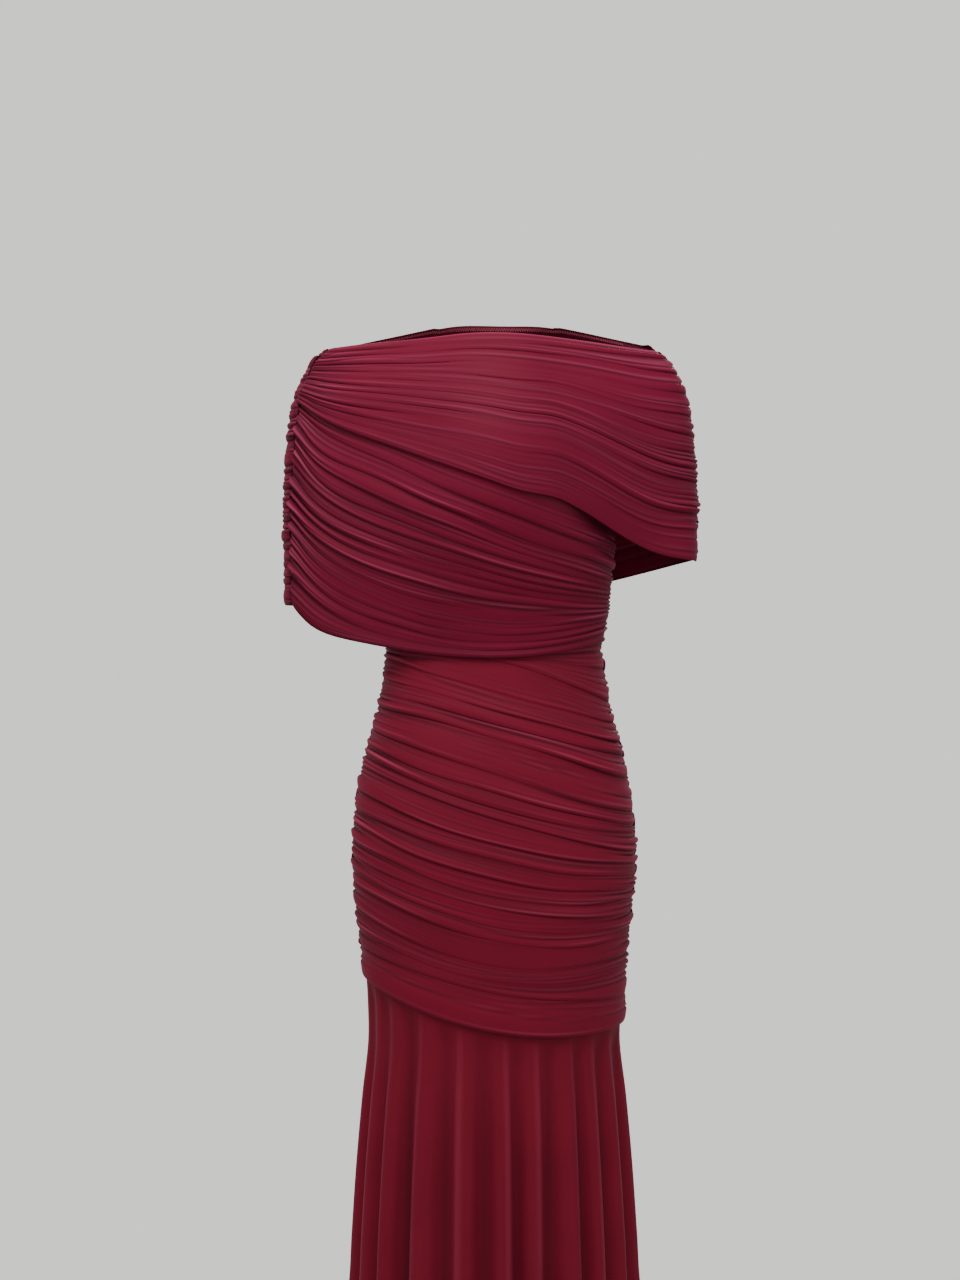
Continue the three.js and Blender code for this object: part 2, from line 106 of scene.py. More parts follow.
STRAIGHT = [0, 1, 0]  # no sag, over any reach, and no bend

# Where rows stand between two creases, where the cloth is plain and where it is rucked.
PLAIN_ROWS = (0, 0.35, 0.7)
RUCKED_ROWS = (
    *(0, 0.025, 0.06, 0.11, 0.17, 0.24, 0.31, 0.38, 0.45),
    *(0.52, 0.59, 0.66, 0.73, 0.79, 0.85, 0.9, 0.94, 0.975),
)
CLOTH_THICK = 1.0
SOLID_WALL = 1.6
HALF_SEAM = 0.15  # half the gap between two pieces at a side seam
SHORT_GATHERS = 3
FINE_CREASES = 6


def along(table, column, height):
    """A column of a table at some heights, on a smooth curve through its rows."""
    heights, values = table[:, 0], table[:, column]
    slopes = np.gradient(values)
    slopes[1:-1] = (values[2:] - values[:-2]) / (heights[2:] - heights[:-2])
    slopes[0] = (values[1] - values[0]) / (heights[1] - heights[0])
    slopes[-1] = (values[-1] - values[-2]) / (heights[-1] - heights[-2])
    height = np.clip(height, heights[-1], heights[0])
    k = np.clip(np.searchsorted(-heights, -height, side="right") - 1, 0, len(heights) - 2)
    span = heights[k + 1] - heights[k]
    t = (height - heights[k]) / span
    return (
        values[k] * (2 * t**3 - 3 * t**2 + 1)
        + slopes[k] * span * (t**3 - 2 * t**2 + t)
        + values[k + 1] * (3 * t**2 - 2 * t**3)
        + slopes[k + 1] * span * (t**3 - t**2)
    )


def across(right, middle, left, s):
    """A parabola through values on the right (-1), the middle (0) and the left (+1)."""
    return middle + (left - right) / 2 * s + ((left + right) / 2 - middle) * s**2


def ease(value, low, high):
    """0 below low, 1 above high, and a smooth step between them."""
    t = np.clip((value - low) / (high - low), 0, 1)
    return t * t * (3 - 2 * t)


def hump(distance, width):
    """A smooth hump, 1 high where the distance is 0."""
    return np.exp(-((distance / width) ** 2))


def gathered_shares(count):
    """Shares of a width, closer together at both ends where the gathers are."""
    even = np.linspace(0, 1, count + 1)
    return 0.55 * even + 0.45 * (0.5 - 0.5 * np.cos(np.pi * even))


def uneven(chance, count, u, waves):
    """For each of count creases, a smooth wandering number from about -1 to 1 along u."""
    total = np.zeros((count, len(u)))
    for wave in waves:
        phase = chance.uniform(0, 2 * np.pi, (count, 1))
        size = chance.uniform(0.35, 1, (count, 1))
        total += size * np.sin(wave * (1 + 0.3 * size) * u[None, :] + phase)
    return total / (0.75 * len(waves))


class Rucks:
    """Rows of a ruched panel from its creases: each row's two creases, and how far it is between them."""

    def __init__(self, creases, shares, seed, wander=1.6):
        table = np.array([row + STRAIGHT[len(row) - SAG :] for row in creases], float)
        self.table, self.count, self.shares = table, len(table), shares
        self.chance = np.random.default_rng(seed)
        rows = []
        for k in range(self.count - 1):
            fractions = RUCKED_ROWS if table[k + 1, FIRST_DEPTH:SAG].max() > 0 else PLAIN_ROWS
            rows += [(k, part) for part in fractions]
        rows.append((self.count - 2, 1.0))
        self.band = np.array([k for k, _ in rows])
        self.part = np.array([part for _, part in rows])
        u = 2 * shares - 1
        level = across(*(table[:, c : c + 1] for c in range(3)), u[None, :])
        room = np.full_like(level, 1e9)
        room[1:] = level[:-1] - level[1:]
        room[:-1] = np.minimum(room[:-1], level[:-1] - level[1:])
        self.wander = wander * uneven(self.chance, self.count, u, (2.1, 4.7, 8.3)) * np.clip(room / 16, 0, 1)
        plain = table[:, FIRST_DEPTH:SAG].max(axis=1) == 0
        self.wander[plain] = 0
        self.wander[-1] = 0

    def mixed(self, column):
        k, t = self.band, self.part
        return (self.table[k, column] * (1 - t) + self.table[k + 1, column] * t)[:, None]

    def height(self, s):
        k, t = self.band, self.part[:, None]
        far = (s + 1) / self.mixed(SAG_REACH)
        sag = self.mixed(SAG) * far * np.exp(1 - far)
        bend = self.mixed(BEND) * np.sin(2 * np.pi * s) * ease(s, 0, 0.3)
        wander = self.wander[k] * (1 - t) + self.wander[k + 1] * t
        return across(self.mixed(0), self.mixed(1), self.mixed(2), s) - sag + bend + wander

    def depth(self, s):
        deep = across(*(self.table[self.band + 1, c][:, None] for c in range(FIRST_DEPTH, SAG)), s)
        return np.maximum(0, deep)


def ruched_cloth(rucks, points, s, lift, outward, gathers):
    """Raises the rucks on a smooth surface, lift off it. Returns the moved points, the way out of the cloth,
    and how strong crease and crest are, at each row and column: the painted shade in the creases and the
    painted highlight on the crests."""
    chance, band, part = rucks.chance, rucks.band, rucks.part[:, None]
    bands = rucks.count - 1
    u = 2 * rucks.shares - 1

    def each(low, high):
        """A random number for each ruck, given to all of its rows."""
        return chance.uniform(low, high, (bands, 1))[band]

    # The way out of the cloth, and how far each point lies from both seams.
    down, side = np.gradient(points, axis=0), np.gradient(points, axis=1)
    away = np.cross(down, side) * outward
    away /= np.linalg.norm(away, axis=2, keepdims=True)
    for column, seam in ((0, gathers["right_way"]), (-1, gathers["left_way"])):
        level = np.hypot(away[:, column, 0], away[:, column, 1])
        away[:, column, 0], away[:, column, 1] = seam[0] * level, seam[1] * level
    run = np.linalg.norm(np.diff(points, axis=1), axis=2)
    from_right = np.concatenate([np.zeros((len(band), 1)), np.cumsum(run, axis=1)], axis=1)
    from_left = from_right[:, -1:] - from_right

    # How wide each ruck is, and how far a point lies below one crease and above the next.
    starts = np.array([np.flatnonzero(band == k)[0] for k in range(bands)] + [len(band) - 1])
    edge = points[starts]
    tall = edge[:-1, :, 2] - edge[1:, :, 2]
    slope = np.gradient(edge[:, :, 2], axis=1) / np.maximum(1e-6, np.gradient(from_right[starts], axis=1))
    width = np.maximum(0.5, tall / np.sqrt(1 + slope[:-1] ** 2))[band]
    below, above = part * width, (1 - part) * width

    # How firmly a ruck stands along its length. It fades in places, and less so beside the seams.
    fading = 0.55 + 0.8 * uneven(chance, bands, u, (1.3, 2.7, 4.9)) + chance.uniform(-0.25, 0.35, (bands, 1))
    calm_at, calm_reach, calm = gathers["calm"]
    fading = fading * (1 - calm * hump(u - calm_at, calm_reach))
    seams_near = np.exp(-from_right[starts[:-1]] / 45) + np.exp(-from_left[starts[:-1]] / 45)
    firm = np.clip(np.clip(fading, 0.1, 1.1) + 0.6 * seams_near, 0, 1.15)[band]
    deep = rucks.depth(s) * firm

    # A ruck rises to its crest and turns under, and beside the seams it swells into a gather.
    lip = np.clip(each(2.6, 6.5) / width, 0.1, 0.45)
    crest_at = 1 - lip
    rise = np.sin(np.pi / 2 * np.clip(part / crest_at, 0, 1)) ** each(0.9, 1.8)
    fall = np.sqrt(np.clip(1 - (np.clip(part - crest_at, 0, 1) / lip) ** 2, 0, 1))
    swell = np.sin(np.pi * part)
    near_right = np.exp(-from_right / (gathers["right"] * each(0.5, 1.7)))
    near_left = np.exp(-from_left / (gathers["left"] * each(0.4, 1.4)))
    near = np.clip(near_right + near_left, 0, 1)
    full = gathers["puff_right"] * near_right + gathers["puff_left"] * near_left
    raised = deep * (rise * fall * (1 - near) + (1 + full) * swell ** gathers["dome"] * near)

    # Painted shade: dark creases, with a soft painted shadow under some of them. Painted highlight: pale
    # crests.
    sharp = np.clip(deep / 3, 0, 1) ** 1.5
    crease = hump(above, 1.1) + 0.45 * hump(below, 1.2) + 0.36 * np.exp(-below / 4.5)
    shadow = chance.uniform(-0.1, 0.55, (bands, 1)) * (0.6 + 0.8 * uneven(chance, bands, u, (1.9, 3.7)))
    shaded = np.clip(shadow, 0, 1)[band] * np.exp(-below / (0.35 * width + 3)) * np.clip(deep, 0, 1)
    crease = crease * sharp + shaded
    crease += 0.9 * full * (1 - swell) ** gathers["valley"]
    crest = hump((part - crest_at) * width, 0.8) * sharp * (1 - 0.7 * near)
    crest = crest * np.clip(0.75 + 0.9 * uneven(chance, bands, u, (2.2, 5.1))[band], 0, 1.4)

    # Short gathers that run out of the seams and fade, with painted shade in each dip and a painted
    # highlight just above it.
    for turn in range(SHORT_GATHERS):
        at = each(0.2, 0.75)
        short = hump(from_right, gathers["short_right"] * each(0.3, 1.8))
        short = short + hump(from_left, gathers["short_left"] * each(0.3, 1.8))
        short = np.clip(short, 0, 1) * ease(width, 2.5 + 2.5 * turn, 5.5 + 3.5 * turn)
        off = (part - at) * width
        dip = hump(off, 1.3) * short
        raised -= 0.75 * deep * dip
        crease += 0.85 * dip
        crest += 0.5 * short * hump(off + 2.4, 1.0)

    # Fine creases part of the way across, with painted shade in each and a painted highlight just above it.
    for _ in range(FINE_CREASES):
        at = each(0.12, 0.85)
        at = at + 0.16 * uneven(chance, bands, u, (1.1, 2.6))[band]
        middle = each(-0.9, 0.9)
        length = each(0.15, 0.6)
        lasts = hump(u[None, :] - middle, length) * ease(width, 7.0, 13.0)
        hard = each(0.1, 1.0)
        off = (part - at) * width
        fold = hump(off, 1.6) * lasts * hard
        soft = hump(off, 5.0) * lasts * hard
        raised -= (0.8 * fold + 0.7 * soft) * np.clip(rucks.depth(s) / 2, 0, 1)
        crease += 0.55 * fold
        crest += 0.4 * lasts * hard * hump(off / 1.1 + 2.0, 1.0)

    # The cloth dips into each seam, with painted shade along it.
    seam = hump(from_right, 2.0) + hump(from_left, 2.0)
    raised = raised * (1 - 0.45 * seam) - 0.5 * seam
    crease += 0.7 * seam
    raised = np.maximum(raised, -0.6)
    moved = points + away * (lift + SOLID_WALL + raised)[:, :, None]
    return moved, away, np.clip(crease, 0, 1), np.clip(crest, 0, 1)


def cloth_piece(name, points, crease, crest, faces_turned, finish):
    """A sheet of cloth whose grid stands on points, in rows from the top down, made thick inwards."""
    rows, columns = points.shape[:2]
    grid = bmesh.new()
    bmesh.ops.create_grid(grid, x_segments=columns - 1, y_segments=rows - 1, size=0.5, calc_uvs=False)
    mesh = bpy.data.meshes.new(name)
    grid.to_mesh(mesh)
    grid.free()
    start = np.empty(len(mesh.vertices) * 3, np.float32)
    mesh.vertices.foreach_get("co", start)
    start = start.reshape(-1, 3)
    j = np.rint((start[:, 0] + 0.5) * (columns - 1)).astype(int)
    i = np.rint((0.5 - start[:, 1]) * (rows - 1)).astype(int)
    mesh.vertices.foreach_set("co", (points[i, j] / 1000).astype(np.float32).ravel())
    if faces_turned:
        mesh.flip_normals()
    corner = np.empty(len(mesh.loops), np.int32)
    mesh.loops.foreach_get("vertex_index", corner)
    run = np.linalg.norm(np.diff(points, axis=1), axis=2).mean(axis=0)
    fall = np.linalg.norm(np.diff(points, axis=0), axis=2).mean(axis=1)
    u = np.concatenate([[0], np.cumsum(run)]) / 1000
    v = -np.concatenate([[0], np.cumsum(fall)]) / 1000
    laid = mesh.uv_layers.new(name="cloth")
    laid.data.foreach_set("uv", np.stack([u[j[corner]], v[i[corner]]], axis=1).astype(np.float32).ravel())
    # The crease mark, painted as shade, and the crest mark, painted as a highlight, for the finish.
    for mark, values in (("crease", crease), ("crest", crest)):
        layer = mesh.attributes.new(name=mark, type="FLOAT", domain="POINT")
        layer.data.foreach_set("value", values[i, j].astype(np.float32))
    mesh.polygons.foreach_set("use_smooth", [True] * len(mesh.polygons))
    mesh.update()
    piece = bpy.data.objects.new(name, mesh)
    bpy.context.scene.collection.objects.link(piece)
    wall = piece.modifiers.new("cloth thickness", "SOLIDIFY")
    wall.thickness = CLOTH_THICK / 1000
    wall.offset = -1
    wall.use_rim = True
    mesh.materials.append(finish)
    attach(piece, "root")
    return piece


class Wire:
    """What a material's nodes give. It can be added, taken away and multiplied as a number can."""

    def __init__(self, tree, socket=None):
        self.tree, self.socket = tree, socket

    def node(self, kind, settings, values, gives=0):
        made = self.tree.nodes.new(kind)
        for name, value in settings.items():
            setattr(made, name, value)
        for name, value in values.items():
            if isinstance(value, Wire):
                self.tree.links.new(value.socket, made.inputs[name])
            else:
                made.inputs[name].default_value = value
        return Wire(self.tree, made.outputs[gives])

    def maths(self, operation, first, second=0.0):
        return self.node("ShaderNodeMath", {"operation": operation}, {0: first, 1: second})

    def __add__(self, other):
        return self.maths("ADD", self, other)

    def __sub__(self, other):
        return self.maths("SUBTRACT", self, other)

    def __mul__(self, other):
        return self.maths("MULTIPLY", self, other)

    __radd__ = __add__
    __rmul__ = __mul__

    def blended(self, colour, other):
        """From one colour to another, by this number."""
        settings = {"data_type": "RGBA", "clamp_factor": True}
        return self.node("ShaderNodeMix", settings, {0: self, 6: colour, 7: other}, gives=2)


RIBS_ACROSS, RIBS_DOWN = 5200.0, 4300.0
RIB_HEIGHT = 0.00012


def stretch_mesh(name, lit, shade, crest_highlight, sheen):
    """Fine matte stretch mesh with the small ribs of the knit, and painted light and shade: its colour blends
    between a lit and a shaded copy in soft random patches, painted shade darkens its creases and a painted
    highlight pales its crests."""
    material = bpy.data.materials.new(name)
    material.use_nodes = True
    tree = material.node_tree
    tools = Wire(tree)
    shader = tree.nodes["Principled BSDF"]
    laid = tools.node("ShaderNodeUVMap", {"uv_map": "cloth"}, {})
    place = tools.node("ShaderNodeTexCoord", {}, {}, gives="Object")
    crease = tools.node("ShaderNodeAttribute", {"attribute_name": "crease"}, {}, gives="Fac")
    crest = tools.node("ShaderNodeAttribute", {"attribute_name": "crest"}, {}, gives="Fac")
    lit_shade_patches = tools.node("ShaderNodeTexNoise", {}, {"Vector": place, "Scale": 14.0, "Detail": 3.0}, gives="Fac")
    grain = tools.node("ShaderNodeTexNoise", {}, {"Vector": laid, "Scale": 620.0, "Detail": 2.0}, gives="Fac")
    # Painted light and shade: soft random patches, and a fine grain, blend between the shaded and the lit
    # copy of the colour.
    base = (lit_shade_patches * 0.55 + grain * 0.3).blended((*shade, 1), (*lit, 1))
    # Painted shade: the crease mark darkens the colour towards a deep copy of the shaded one.
    base = (crease * 0.78).blended(base, (*[0.28 * part for part in shade], 1))
    # Painted highlight: the crest mark pales the colour along the crests.
    base = (crest * 0.5).blended(base, (*crest_highlight, 1))
    tree.links.new(base.socket, shader.inputs["Base Color"])
    rough = 0.6 + 0.12 * grain - 0.06 * crest
    tree.links.new(rough.socket, shader.inputs["Roughness"])
    apart = tools.node("ShaderNodeSeparateXYZ", {}, {0: laid})
    ups = Wire(tree, apart.socket.node.outputs["Y"])
    ribs = tools.maths("SINE", apart * RIBS_ACROSS) * tools.maths("SINE", ups * RIBS_DOWN)
    relief = {"Strength": 0.35, "Distance": RIB_HEIGHT, "Height": ribs * 0.5 + grain}
    bump = tools.node("ShaderNodeBump", {}, relief)
    tree.links.new(bump.socket, shader.inputs["Normal"])
    shader.inputs["Specular IOR Level"].default_value = 0.04
    shader.inputs["Sheen Weight"].default_value = sheen
    shader.inputs["Sheen Roughness"].default_value = 0.45
    shader.inputs["Sheen Tint"].default_value = (1.0, 0.16, 0.36, 1)
    return material


def on_body(rucks, depth_column, outward):
    """The body's own surface at every row and column, and how far across each point is."""
    turn = (rucks.shares[None, :] - 0.5) * np.pi
    s = np.sin(turn) + 0 * rucks.part[:, None]
    z = rucks.height(s)
    x = along(FIGURE, HALF, z) * s
    ahead = along(FIGURE, depth_column, z) * np.cos(turn) + HALF_SEAM
    return np.stack([x, -ahead * outward, z], axis=2), s


body_finish = stretch_mesh(
    "ruched_mesh",
    lit=(0.082, 0.0028, 0.0108),
    shade=(0.05, 0.0017, 0.0066),
    crest_highlight=(0.165, 0.02, 0.044),
    sheen=0.05,
)

# How rucks gather into the seams. right and left are how far the gathers reach, and short_right and
# short_left the same for the short ones between them. puff_right and puff_left are how much they swell, and
# dome and valley the shape of a gather and of the shadow beside it. calm is where across the piece the rucks
# lie flatter, over what reach and by how much. right_way and left_way point out of the cloth along each seam.
BODY_GATHERS = {
    "right": 18,
    "left": 22,
    "short_right": 42,
    "short_left": 56,
    "puff_right": 0.2,
    "puff_left": 0.4,
    "dome": 0.8,
    "valley": 2.0,
    "calm": (0.0, 0.6, 0.25),
    "right_way": (-1, 0),
    "left_way": (1, 0),
}

front_rucks = Rucks(FRONT_CREASES, gathered_shares(106), seed=11)
surface, s = on_body(front_rucks, FRONT, 1)
points, _, crease, crest = ruched_cloth(front_rucks, surface, s, 0.0 * s, 1, BODY_GATHERS)
body_front = cloth_piece(
    "body_front_cloth",
    points,
    crease,
    crest,
    True,
    body_finish,
)
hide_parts("body_front")


# Back of the body: the same mesh in rucks that lie more nearly level, caught in the same side seams.


def creases_between(count, top, bottom, deep, uneven_by):
    """Evenly graded creases from one to another, each moved a little so that none repeats its neighbour."""
    step = 1 / (count - 1)
    rows = []
    for k in range(count):
        share = k * step + uneven_by * step * math.sin(2.4 * k) * math.sin(math.pi * k * step)
        heights = [z + (bottom[n] - z) * share + 3 * math.sin(1.7 * k + 2 * n) for n, z in enumerate(top)]
        rows.append(heights + [d * (0.85 + 0.2 * math.sin(2.9 * k + 1.3 * n)) for n, d in enumerate(deep)])
    return rows


BACK_CREASES = [
    [-190, -186, -190, 0, 0, 0],
    *creases_between(19, (-262, -268, -264), (-688, -728, -742), (3.4, 2.8, 3.6), 0.32),
    [-715, -752, -768, 2.0, 2.4, 2.4],
]
back_rucks = Rucks(BACK_CREASES, gathered_shares(98), seed=12)
surface, s = on_body(back_rucks, BACK, -1)
points, _, crease, crest = ruched_cloth(back_rucks, surface, s, 0.0 * s, -1, BODY_GATHERS)
body_back = cloth_piece(
    "body_back_cloth",
    points,
    crease,
    crest,
    False,
    body_finish,
)
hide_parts("body_back")


# Front of the skirt: the same mesh cut flared and left unruched. Its top edge is sewn in under the last ruck,
# and it falls to the floor in soft upright folds, with a narrow turned hem.

# height, half width, depth in front, depth behind, how far the folds stand out and in
SKIRT = np.array([
    [-690, 146.6, 105.6, 115.6, 0],
    [-740, 144.6, 104.6, 109.6, 0],
    [-790, 143.8, 103.8, 106.2, 0],
    [-850, 148.5, 107, 109, 2.6],
    [-929, 153, 111, 113, 5.5],
    [-1008, 156, 115, 117, 8],
    [-1069, 158, 119, 121, 10],
    [-1150, 169, 131, 140, 13],
    [-1230, 186, 147, 162, 16],
    [-1310, 208, 167, 188, 19],
    [-1380, 232, 189, 214, 22],
    [-1430, 251, 206, 234, 24],
], float)
FOLD = 4
FLOOR_HEIGHT = -1430
TUCK = 12  # how far the top edge is hidden by the body
HEM_DEEP = 14
SKIRT_COLUMNS = 190
SKIRT_ROWS = 92

# Ridges of the folds in degrees round from straight ahead, and how strong each one is.
FRONT_FOLDS = np.array([
    [-80, 0.8],
    [-64, 0.75],
    [-50, 1.0],
    [-31, 1.1],
    [-13, 0.85],
    [3, 0.8],
    [16, 0.9],
    [33, 1.2],
    [47, 0.8],
    [62, 0.9],
    [80, 0.9],
])


def fold_wave(folds, turn):
    """How far out, from -1 to 1, a fold stands at each angle."""
    ridges, strong = folds[:, 0], folds[:, 1]
    stops = np.concatenate([[-90], (ridges[1:] + ridges[:-1]) / 2, [90]])
    shallow = np.concatenate([strong[:1], np.minimum(strong[1:], strong[:-1]), strong[-1:]])
    knots = np.ravel(np.column_stack([stops[:-1], ridges])).tolist() + [90]
    highs = np.ravel(np.column_stack([-shallow[:-1], strong])).tolist() + [-shallow[-1]]
    knots, highs = np.array(knots, float), np.array(highs, float)
    k = np.clip(np.searchsorted(knots, turn, side="right") - 1, 0, len(knots) - 2)
    t = (turn - knots[k]) / (knots[k + 1] - knots[k])
    return highs[k] + (highs[k + 1] - highs[k]) * (0.5 - 0.5 * np.cos(np.pi * np.clip(t, 0, 1)))


def skirt_cloth(folds, hem, depth_column, outward, seed):
    """Points of a skirt panel, and at each of them how strong its painted crease shade and its painted crest
    highlight are.
    """
    chance = np.random.default_rng(seed)
    turn = np.linspace(-90, 90, SKIRT_COLUMNS + 1)[None, :]
    share = (np.linspace(0, 1, SKIRT_ROWS + 1) ** 1.1)[:, None]
    s = np.sin(np.radians(turn))
    top = across(*hem, s) + TUCK
    z = top + (FLOOR_HEIGHT - top) * share
    calm = np.cos(np.radians(turn)) ** 0.5
    sway = np.zeros_like(z)
    small = np.zeros_like(z)
    for wave in (3.1, 5.3, 8.9, 13.7):
        phase = chance.uniform(0, 6.28, 2)
        sway += np.sin(wave * np.radians(turn) + 2.2 * share + phase[0]) / wave
        small += np.sin(2.3 * wave * np.radians(turn) + 1.6 * share + phase[1]) / 2
    wave = fold_wave(folds, np.clip(turn + 5.0 * sway * calm * share, -90, 90))
    wave = 0.3 * wave + 0.7 * np.tanh(2.8 * wave) / np.tanh(2.8) * np.maximum(0.75, np.abs(wave))
    fold = along(SKIRT, FOLD, z)
    below = np.maximum(0, top - TUCK - z)
    hung = 4.2 * ease(below, -8, 30) * (1 - ease(below, 120, 330))
    moved = fold * wave - hung * (0.5 - 0.5 * wave) + small * calm * (0.5 + 0.02 * fold) * ease(below, 0, 80)
    moved += np.maximum(0, wave) ** 2 * 0.06 * fold
    x = (along(SKIRT, HALF, z) + moved) * s
    ahead = (along(SKIRT, depth_column, z) + moved) * np.cos(np.radians(turn)) + HALF_SEAM
    points = np.stack([x, -ahead * outward, z], axis=2)
    level = np.cross(np.gradient(points, axis=0), np.gradient(points, axis=1)) * outward
    level[:, :, 2] = 0
    level /= np.linalg.norm(level, axis=2, keepdims=True)
    level[:, 0], level[:, -1] = (-1, 0, 0), (1, 0, 0)
    seam = hump(90 - np.abs(turn), 0.8) + 0 * z
    hem_line = hump(z - FLOOR_HEIGHT - HEM_DEEP, 1.2)
    # Painted shade in the folds' troughs and where the cloth dips at the side seams and along the hem's turn,
    # and a painted highlight along the ridges' turning edges.
    trough = np.clip(-wave, 0, 1) ** 2 * np.clip((fold + hung) / 9, 0, 1)
    crease = np.clip(0.75 * trough + 0.6 * seam + 0.5 * hem_line, 0, 1)
    turning = -np.gradient(wave, axis=1) * np.sign(turn)
    ridge = hump(wave - 0.62, 0.2) * ease(turning, 0.01, 0.08) * np.clip((fold + hung) / 7, 0, 1)
    thread_dip = 0.35 * hem_line + 0.3 * seam
    points += level * (0.8 - thread_dip)[:, :, None]
    return points, crease, np.clip(0.5 * ridge, 0, 1)


skirt_finish = stretch_mesh(
    "skirt_mesh",
    lit=(0.084, 0.0034, 0.0104),
    shade=(0.05, 0.002, 0.0062),
    crest_highlight=(0.15, 0.018, 0.036),
    sheen=0.04,
)
front_fall, crease, crest = skirt_cloth(FRONT_FOLDS, FRONT_CREASES[-1][:3], FRONT, 1, seed=21)
skirt_front = cloth_piece(
    "skirt_front_cloth",
    front_fall,
    crease,
    crest,
    True,
    skirt_finish,
)
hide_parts("skirt_front")


# Back of the skirt: cut and folded as the front, and a little fuller at the hem.

BACK_FOLDS = np.array([
    [-79, 0.9],
    [-60, 1.1],
    [-43, 0.8],
    [-24, 1.15],
    [-8, 0.9],
    [9, 1.0],
    [27, 1.15],
    [44, 0.85],
    [61, 1.05],
    [79, 0.9],
])
back_fall, crease, crest = skirt_cloth(BACK_FOLDS, BACK_CREASES[-1][:3], BACK, -1, seed=22)
skirt_back = cloth_piece(
    "skirt_back_cloth",
    back_fall,
    crease,
    crest,
    False,
    skirt_finish,
)
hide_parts("skirt_back")


# Lower drape: a layer of the same mesh gathered into the seam down the right arm, which hangs under the arm,
# wraps the waist and is caught in the left side seam. Its gathers leave the arm steeply and flatten over the
# ribs.

# height, how far out the arm's seam reaches, and the radius the cloth turns round there
ARM = np.array([
    [30, 150, 4],
    [3, 178, 6],
    [-7, 190, 12],
    [-20, 204, 20],
    [-38, 213, 29],
    [-55, 220, 34],
    [-88, 226, 37],
    [-120, 229, 36],
    [-165, 232, 34],
    [-215, 232, 32],
    [-300, 231, 31],
], float)
REACH, RADIUS = 1, 2
SEAM_TURN = math.radians(44)  # how far the right arm's seam lies to the front
ARM_SEAM = 0.25  # half the gap down each arm, and how much more it opens at the shoulders
SHOULDER_OPEN = 1.6
SHOULDER_SHIFT = -4  # the cape sits a little to the right
LOWER_LIFT = 2.3
OVERLAP_LIFT = 5.0
LOWER_CREASES = [
    [-57, -128, -196, 0, 0, 0, 5, 0.25],
    [-67, -148, -214, 0, 0, 0, 6, 0.25],
    [-75, -168, -236, 1.6, 2.4, 2.4, 7, 0.3],
    [-86, -190, -251, 3.4, 3.2, 2.8, 15, 0.22],
    [-101, -206, -265, 5.0, 3.4, 3.4, 16, 0.25],
    [-116, -219, -271, 1.8, 1.4, 3.0, 17, 0.28],
    [-131, -230, -276, 5.2, 3.2, 3.2, 17, 0.3],
    [-145, -241, -281, 2.0, 1.6, 3.0, 17, 0.3],
    [-159, -251, -286, 5.2, 3.0, 3.2, 17, 0.3],
    [-172, -262, -291, 2.4, 1.2, 2.8, 17, 0.28],
    [-185, -274, -295, 5.2, 2.8, 3.2, 17, 0.27],
    [-197, -290, -299, 1.8, 1.8, 3.2, 17, 0.26],
    [-210, -308, -303, 5.4, 3.6, 3.4, 17, 0.25],
    [-225, -318, -309, 2.6, 0.8, 3.0, 16, 0.24],
    [-240, -328, -315, 5.0, 0.6, 3.2, 15, 0.24],
    [-260, -338, -323, 4.2, 1.4, 3.2, 13, 0.27],
    [-293, -350, -334, 1.8, 2.4, 2.4, 14, 0.18],
]
PLAN_STEP = 3.0
PLAN_HEIGHTS = np.arange(48, -380, -PLAN_STEP)


def tangent_turn(arm_x, radius, half, deep):
    """Cloth pulled straight from an arm leaves the chest's ellipse where both have this same tangent."""
    a = arm_x**2 - half**2 + deep**2
    b = radius * arm_x
    c = radius**2 - deep**2
    return math.asin((math.sqrt(b * b - a * c) - b) / a)


def plan_line(height, shares, depth_column, seam_turn, to_side_seam):
    """The drape's line at one height, seen from above: round the right arm, over the chest, and on to the
    left arm or to the body's side seam. Gives x and the distance ahead at each share of its length."""
    radius = float(along(ARM, RADIUS, height))
    arm_x = float(along(ARM, REACH, height)) - radius
    half = float(along(FIGURE, HALF, height))
    deep = float(along(FIGURE, depth_column, height))
    leave = tangent_turn(arm_x, radius, half, deep)
    opening = ARM_SEAM + SHOULDER_OPEN * float(ease(height, -80, -30))
    turn = np.linspace(seam_turn + opening / radius, math.pi / 2 - leave, 20)
    right = np.stack([-(arm_x + radius * np.cos(turn)), radius * np.sin(turn)], axis=1)
    meet = math.asin(half * math.sin(leave) / (arm_x * math.sin(leave) + radius))
    turn = np.linspace(-meet, math.pi / 2 if to_side_seam else meet, 60)
    line = [right, np.stack([half * np.sin(turn), deep * np.cos(turn)], axis=1)]
    if not to_side_seam:
        turn = np.linspace(math.pi / 2 - leave, HALF_SEAM / radius, 20)
        line.append(np.stack([arm_x + radius * np.cos(turn), radius * np.sin(turn)], axis=1))
    line = np.concatenate(line)
    lengths = np.concatenate([[0], np.cumsum(np.hypot(*np.diff(line, axis=0).T))])
    aims = shares * lengths[-1]
    return np.interp(aims, lengths, line[:, 0]), np.interp(aims, lengths, line[:, 1])


